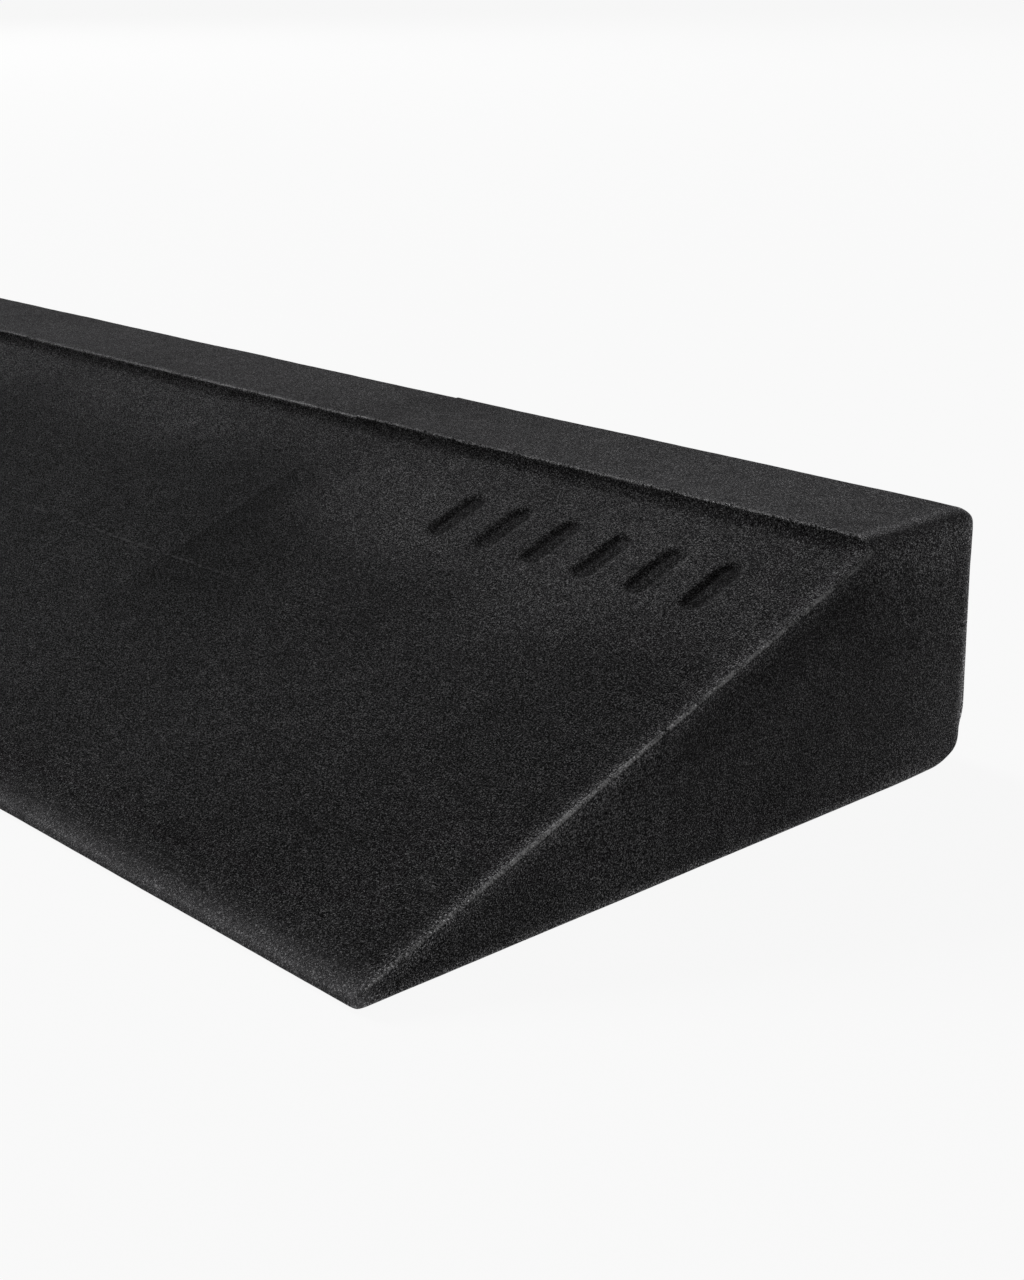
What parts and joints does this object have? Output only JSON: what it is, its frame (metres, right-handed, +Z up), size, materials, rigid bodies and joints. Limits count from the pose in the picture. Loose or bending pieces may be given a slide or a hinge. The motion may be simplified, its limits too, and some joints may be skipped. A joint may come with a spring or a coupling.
{
  "type": "slant board",
  "caption": "Long firm foam wedge with a thin toe edge, a sloping standing face, and a flat shelf behind a low step along its high back edge.",
  "frame": {"origin": "middle of the underside, at floor level", "axes": "+X along the board's length, +Y from the thin toe towards the high back face, +Z up from the floor"},
  "size_m": [0.6, 0.208, 0.069],
  "materials": {
    "foam": "matte",
    "glue": "satin"
  },
  "bodies": {
    "root": {"base_layer_left": "foam", "base_layer_middle": "foam", "base_layer_right": "foam", "top_layer_left": "foam", "top_layer_middle": "foam", "top_layer_right": "foam", "joint_glue_left": "glue", "joint_glue_right": "glue", "layer_glue_left": "glue", "layer_glue_middle": "glue", "layer_glue_right": "glue"}
  },
  "joints": []
}
